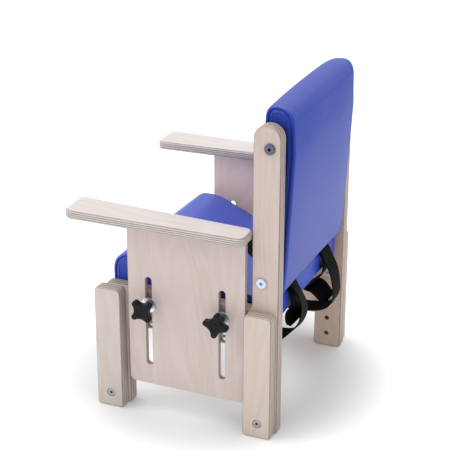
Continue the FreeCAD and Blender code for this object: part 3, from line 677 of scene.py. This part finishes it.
def make_back():
    lowest = -25.2
    corners = [(-20.4, lowest, 3.0), (27.4, lowest, 3.0), (29.3, 204.0, 110.0), (22.8, 275.2, 26.0), (-20.4, 276.7, 17.0)]
    pad = Pad(corners, [(0, 1), (1, 3), (3, 4), (4, 0)], [10, 46, 10, 46], 141.0, 4.4, 21, (9.0,))
    pad.build(0, lambda p: min(1.0, max(0.0, (p[1] - lowest) / 9.0)), 0.0)
    v = pad.verts
    # the top is crowned and worn rounder at the right, where the lower edge hangs a little too
    top = np.clip((v[:, 2] - 225.0) / 50.0, 0.0, 1.0)
    low = np.clip((20.0 - v[:, 2]) / 45.0, 0.0, 1.0)
    shaped = v.copy()
    front, rear = np.clip((14.0 - v[:, 1]) / 30.0, 0.0, 1.0), np.clip((v[:, 1] - 2.0) / 20.0, 0.0, 1.0)
    far = np.clip((-v[:, 0] - 60.0) / 81.0, 0.0, 1.0)
    shaped[:, 2] += top * (2.0 * np.clip(1.0 - (np.abs(v[:, 0] - 6.0) / 132.0) ** 2, 0.0, 1.0) - 4.6 * front * np.clip((-v[:, 0] - 98.0) / 43.0, 0.0, 1.0) ** 2 + 4.2 * rear * far)
    shaped[:, 1] += 1.2 * top * rear * far
    shaped[:, 2] -= low * 4.0 * np.clip((40.0 - v[:, 0]) / 181.0, 0.0, 1.0)
    ob = make_object("back_pad", back_row(shaped), outward(v, pad.faces), MAT_VINYL_BACK)
    held = np.zeros(len(v))
    held[(pad.ring_id >= pad.seam_from) & (pad.ring_id < pad.seam_from + 4)] = 1.0
    held[v[:, 2] < lowest + 1.0] = 1.0
    limit = np.full(len(v), 0.0030)
    limit += 0.0019 * np.clip((v[:, 2] - 190.0) / 90.0, 0.0, 1.0)
    limit[pad.ring_id == 99] = 0.0012
    swell(ob, held, 4.5, 0.0030, limit)
    subdivide(ob)
    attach(ob, "frame")
    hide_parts("back_cushion")
    return ob


# ---------------------------------------------------------------- seat cushion
def make_seat():
    z0 = 183.0
    corners = [
        (137.2, z0, 3.0), (-145.0, z0, 3.0), (-145.0, 246.0, 29.0), (-111.5, 261.5, 24.0),
        (-76.6, 259.4, 45.0), (-11.2, 229.4, 60.0), (29.0, 222.7, 60.0), (137.2, 222.7, 12.0),
    ]
    pad = Pad(corners, [(0, 1), (1, 2), (2, 7), (7, 0)], [46, 11, 46, 11], 141.0, 4.4, 21, (9.0, 22.6, 28.0))
    pad.build(0, lambda p: min(1.0, max(0.0, (p[1] - z0) / 9.0)), 0.0)
    v = pad.verts
    # the seat board's room in the underside
    under = v.copy()
    # the front has settled lower towards the right side
    settle = np.clip((70.0 - v[:, 0]) / 200.0, 0.0, 1.0)
    settle = settle * settle * (3 - 2 * settle) * np.exp(-((v[:, 1] + 134.0) / 18.0) ** 2) * np.clip((v[:, 2] - 205.0) / 30.0, 0.0, 1.0)
    under[:, 2] -= 10.5 * settle
    ob = make_object("seat_pad", row(under), outward(v, pad.faces), MAT_VINYL_SEAT)
    held = np.zeros(len(v))
    held[(pad.ring_id >= pad.seam_from) & (pad.ring_id < pad.seam_from + 4)] = 1.0
    held[v[:, 2] < z0 + 1.0] = 1.0
    limit = np.full(len(v), 0.0026)
    limit[pad.ring_id == 99] = 0.0012
    limit[v[:, 1] > 131.0] = 0.0012
    swell(ob, held, 4.0, 0.0026, limit)
    me = ob.data
    co = np.zeros(len(v) * 3)
    me.vertices.foreach_get("co", co)
    co = co.reshape(-1, 3)
    room = (v[:, 2] < z0 + 0.3) & (np.abs(v[:, 0]) < 137.4) & (v[:, 1] > -140.6) & (v[:, 1] < 134.2)
    co[room, 2] = (z0 + 12.4) * MM
    me.vertices.foreach_set("co", co.ravel())
    me.update()
    subdivide(ob)
    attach(ob, "frame")
    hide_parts("seat_cushion")
    return ob


# ---------------------------------------------------------------- straps
def spline(points, n):
    """Smooth curve through points, n + 1 samples even in length."""
    p = np.asarray(points, float)
    k = len(p)
    ext = np.vstack([2 * p[0] - p[1], p, 2 * p[-1] - p[-2]])
    knots = [0.0]
    for i in range(len(ext) - 1):
        knots.append(knots[-1] + max(1e-6, np.linalg.norm(ext[i + 1][:3] - ext[i][:3])) ** 0.5)
    knots = np.array(knots)
    out = []
    for i in range(1, k):
        p0, p1, p2, p3 = ext[i - 1], ext[i], ext[i + 1], ext[i + 2]
        t0, t1, t2, t3 = knots[i - 1:i + 3]
        for t in np.linspace(t1, t2, 24, endpoint=(i == k - 1)):
            a1 = (t1 - t) / (t1 - t0) * p0 + (t - t0) / (t1 - t0) * p1
            a2 = (t2 - t) / (t2 - t1) * p1 + (t - t1) / (t2 - t1) * p2
            a3 = (t3 - t) / (t3 - t2) * p2 + (t - t2) / (t3 - t2) * p3
            b1 = (t2 - t) / (t2 - t0) * a1 + (t - t0) / (t2 - t0) * a2
            b2 = (t3 - t) / (t3 - t1) * a2 + (t - t1) / (t3 - t1) * a3
            out.append((t2 - t) / (t2 - t1) * b1 + (t - t1) / (t2 - t1) * b2)
    out = np.array(out)
    s = np.concatenate([[0], np.cumsum(np.linalg.norm(np.diff(out[:, :3], axis=0), axis=1))])
    grid = np.linspace(0, s[-1], n + 1)
    return np.stack([np.interp(grid, s, out[:, j]) for j in range(out.shape[1])], 1), s[-1]


def strap(name, stations, width, thick, node):
    """Webbing along stations [(x, y, z, wx, wy, wz)]: centre line and width direction."""
    samples, length = spline(stations, 10)
    n = max(24, int(length / 2.6))
    samples, length = spline(stations, n)
    c, w = samples[:, :3], samples[:, 3:]
    w = w / np.linalg.norm(w, axis=1, keepdims=True)
    tang = np.gradient(c, axis=0)
    tang /= np.linalg.norm(tang, axis=1, keepdims=True)
    w = w - (w * tang).sum(1, keepdims=True) * tang
    w /= np.linalg.norm(w, axis=1, keepdims=True)
    nor = np.cross(tang, w)
    m = 15
    across = np.linspace(-0.5, 0.5, m)
    half = thick / 2 * (1 - 0.55 * np.clip((np.abs(across) - 0.44) / 0.06, 0, 1) ** 2)
    half = half + 0.05 * np.cos(np.arange(m) * math.pi)
    ring = [(across[j], half[j]) for j in range(m)] + [(across[j], -half[j]) for j in range(m)][::-1]
    k = len(ring)
    verts, weave, faces = [], [], []
    for i in range(n + 1):
        for a, h in ring:
            verts.append(c[i] + w[i] * a * width + nor[i] * h)
            weave.append((length * i / n * MM, a * width * MM, 0.0))
    for i in range(n):
        for j in range(k):
            j2 = (j + 1) % k
            faces.append((i * k + j, i * k + j2, (i + 1) * k + j2, (i + 1) * k + j))
    for i, flip in ((0, False), (n, True)):
        for j in range(m - 1):
            f = (i * k + j, i * k + k - 1 - j, i * k + k - 2 - j, i * k + j + 1)
            faces.append(f if not flip else f[::-1])
    ob = make_object(name, row(verts), outward(verts, faces), MAT_WEB)
    at = ob.data.attributes.new("weave", "FLOAT_VECTOR", "POINT")
    at.data.foreach_set("vector", np.array(weave, np.float32).ravel())
    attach(ob, "frame")
    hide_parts(node)
    print("strap", name, "length mm", round(float(length), 1))
    return ob


X1 = (1.0, 0.0, 0.0)
make_back()
SEAT = make_seat()
SEAT_TREE = BVHTree.FromPolygons([v.co[:] for v in SEAT.data.vertices], [p.vertices[:] for p in SEAT.data.polygons])


def on_seat(x, y, w, over=1.15):
    """Station of a strap that lies on the seat cushion, as high as the cushion is under its width."""
    z = 0.0
    for k in (-18.0, -9.0, 0.0, 9.0, 18.0):
        at = Vector(row((x + k * w[0], y + k * w[1], 400.0))[0])
        hit = SEAT_TREE.ray_cast(at, Vector((0, 0, -1)))
        z = max(z, hit[0].z / MM)
    return (x, y, z + over, *w)


DIAG = (0.689, -0.725, 0.0)
RIGHT_LAP = [
    on_seat(-75, 60, X1), on_seat(-75, 75, X1), on_seat(-75, 90, X1, 1.6), on_seat(-75, 105, X1, 3.3), (-75, 122, 228.2, *X1), (-75, 132, 227.3, *X1), (-75, 140, 221.5, *X1),
    (-75, 148.5, 204.5, *X1), (-75, 156, 190, *X1), (-75, 160.5, 175.5, *X1), (-75, 163.4, 156, *X1), (-75, 163.6, 142, *X1),
    (-75, 161, 132.5, *X1), (-75, 156.5, 125, *X1), (-75, 143, 116, *X1), (-75, 128.5, 112.5, *X1), (-75, 115, 110.6, *X1),
    (-75, 101, 109.3, *X1), (-75, 80, 109.5, *X1), (-75, 60, 115, *X1), (-75, 42, 130, *X1), (-75, 30, 152, *X1), (-75, 22, 172, *X1),
    (-75, 12, 180.6, *X1), (-75, 0, 181.9, *X1), (-75, -20, 181.9, *X1),
]
LEFT_LAP = [
    on_seat(-52, 11, DIAG), on_seat(-36, 26, DIAG), on_seat(-18, 43, DIAG), on_seat(0, 60, DIAG), on_seat(20, 79, DIAG), on_seat(40, 98, DIAG, 2.4),
    on_seat(56, 112, (.80, -.60, 0), 3.5), (69, 124, 228.4, .95, -.3, 0), (75, 134, 227.0, 1, .0, .06), (75, 141, 222, .98, .1, .2),
    (75, 150.5, 209.5, .96, .15, .28), (75, 156.5, 196.5, .96, .14, .26), (75, 159.0, 182, .97, .08, .2), (75, 158.4, 171, .985, .03, .12),
    (75, 154, 158, .97, .05, .2), (75, 147, 147, .97, .05, .23), (75, 136, 135.5, .99, .02, .1), (75, 126, 129.5, .99, 0, -.08), (75, 112, 126.5, .985, 0, -.17),
    (75, 95, 126, .99, 0, -.1), (75, 75, 130, *X1), (75, 55, 140, *X1), (75, 38, 156, *X1), (75, 27, 171, *X1),
    (75, 14, 180.6, *X1), (75, 0, 181.9, *X1), (75, -20, 181.9, *X1),
]
LEFT_TAIL = [
    on_seat(75, 96, X1), on_seat(75, 110, X1), (75, 122, 225.3, *X1), (75, 132, 224.2, *X1), (75, 138.8, 219.5, *X1), (75, 142.8, 207, *X1), (75, 143.2, 196, *X1),
    (75.2, 142.8, 187.5, .99, -.1, 0), (75.6, 142, 179, .94, -.33, 0), (76, 142.3, 173, .9, -.43, -.03), (76.4, 142.8, 167, .89, -.44, -.1), (76.7, 143.8, 163, .89, -.43, -.14), (77, 146.0, 160.4, .91, -.38, -.14), (77.3, 148.8, 161.8, .95, -.25, -.12),
]
RIGHT_TAIL = [
    on_seat(-75, 96, X1), on_seat(-75, 110, X1), (-75, 122, 225.4, *X1), (-75, 132, 224.4, *X1), (-75, 138.8, 219.3, *X1), (-75, 143.5, 207, *X1), (-75, 144.5, 195, *X1),
    (-75, 142.2, 183, *X1), (-75, 135.5, 171.5, *X1), (-75, 124, 160, *X1), (-75, 116, 153, *X1), (-75, 112.7, 149.9, .995, -.094, 0), (-75, 116.6, 149.2, .985, -.11, -.12),
    (-75, 127.3, 150.6, .929, -.15, -.339), (-75, 136.6, 144.6, .912, -.153, -.381), (-75, 144, 136.6, .943, -.164, -.288), (-75, 152.3, 130.6, .97, -.12, -.2),
]

strap("left_lap_belt", LEFT_LAP, 40.0, 1.9, "left_lap_strap")
strap("right_lap_belt", RIGHT_LAP, 40.0, 1.9, "right_lap_strap")
strap("left_belt_tail", LEFT_TAIL, 38.0, 1.9, "left_strap_tail")
strap("right_belt_tail", RIGHT_TAIL, 38.0, 1.9, "right_strap_tail")


# ---------------------------------------------------------------- floor and light
def make_floor():
    m = Mat("studio_floor")
    tex = m.node("TexCoord")
    n = m.noise(tex.outputs["Object"], 3.0, 2.0, 0.5)
    m.set(Base_Color=m.mix(n, (0.760, 0.760, 0.763), (0.770, 0.770, 0.773)), Roughness=m.math("MULTIPLY_ADD", n, 0.05, 0.72))
    m.bsdf.inputs["Specular IOR Level"].default_value = 0.2
    c = m.xyz(tex.outputs["Object"])
    # painted light and shadow: the floor glows weakly in a ring round the chair, more right under it and most further
    # out, which paints its soft shadow; the blue-white glow offsets the warm bounce light
    x, y = m.math("SUBTRACT", c[0], 0.02), m.math("ADD", c[1], 0.010)
    away = m.math("SQRT", m.math("ADD", m.math("MULTIPLY", x, x), m.math("MULTIPLY", y, y)))
    m.bsdf.inputs["Emission Color"].default_value = (0.955, 0.985, 1.0, 1.0)
    glow = m.math("ADD", m.range(away, 0.205, 0.345, 0.04, 0.42, True), m.range(away, 0.20, 0.11, 0.0, 0.25, True))
    m.set(Emission_Strength=glow)
    k = 14.0
    ob = make_object("studio_floor", [(-k, -k, -0.0004), (k, -k, -0.0004), (k, k, -0.0004), (-k, k, -0.0004)], [(0, 1, 2, 3)], m.mat, False)
    ob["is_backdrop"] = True


def area_light(name, at, to, size, power, colour=(1, 1, 1), seen=True):
    data = bpy.data.lights.new(name, "AREA")
    data.shape = "RECTANGLE"
    data.size, data.size_y = size
    data.energy = power
    data.color = colour
    ob = bpy.data.objects.new(name, data)
    SCENE.collection.objects.link(ob)
    ob.location = at
    ob.rotation_mode = "QUATERNION"
    ob.rotation_quaternion = (Vector(to) - Vector(at)).to_track_quat("-Z", "Y")
    ob.visible_camera = False
    return ob


def make_light():
    world = bpy.data.worlds.new("studio")
    SCENE.world = world
    world.use_nodes = True
    t = world.node_tree
    t.nodes.clear()
    out = t.nodes.new("ShaderNodeOutputWorld")
    bg = t.nodes.new("ShaderNodeBackground")
    t.links.new(bg.outputs[0], out.inputs[0])
    tex = t.nodes.new("ShaderNodeTexCoord")
    dot = t.nodes.new("ShaderNodeVectorMath")
    dot.operation = "DOT_PRODUCT"
    d = Vector((0.10, -0.04, 1.0)).normalized()
    dot.inputs[1].default_value = d
    t.links.new(tex.outputs["Generated"], dot.inputs[0])
    mr = t.nodes.new("ShaderNodeMapRange")
    mr.interpolation_type = "SMOOTHSTEP"
    for s, v in zip(list(mr.inputs)[1:5], (-0.2, 0.9, 0.62, 0.95)):
        s.default_value = v
    t.links.new(dot.outputs["Value"], mr.inputs[0])
    t.links.new(mr.outputs[0], bg.inputs["Strength"])
    bg.inputs["Color"].default_value = (1.0, 1.0, 1.0, 1.0)
    area_light("top_light", (0.2, -0.3, 3.0), (0, 0, 0.2), (3.0, 3.0), 36.0)
    area_light("key_light", (1.3, -2.3, 2.4), (0, 0, 0.25), (1.8, 1.8), 26.0)


make_floor()
make_light()

lo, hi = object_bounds()
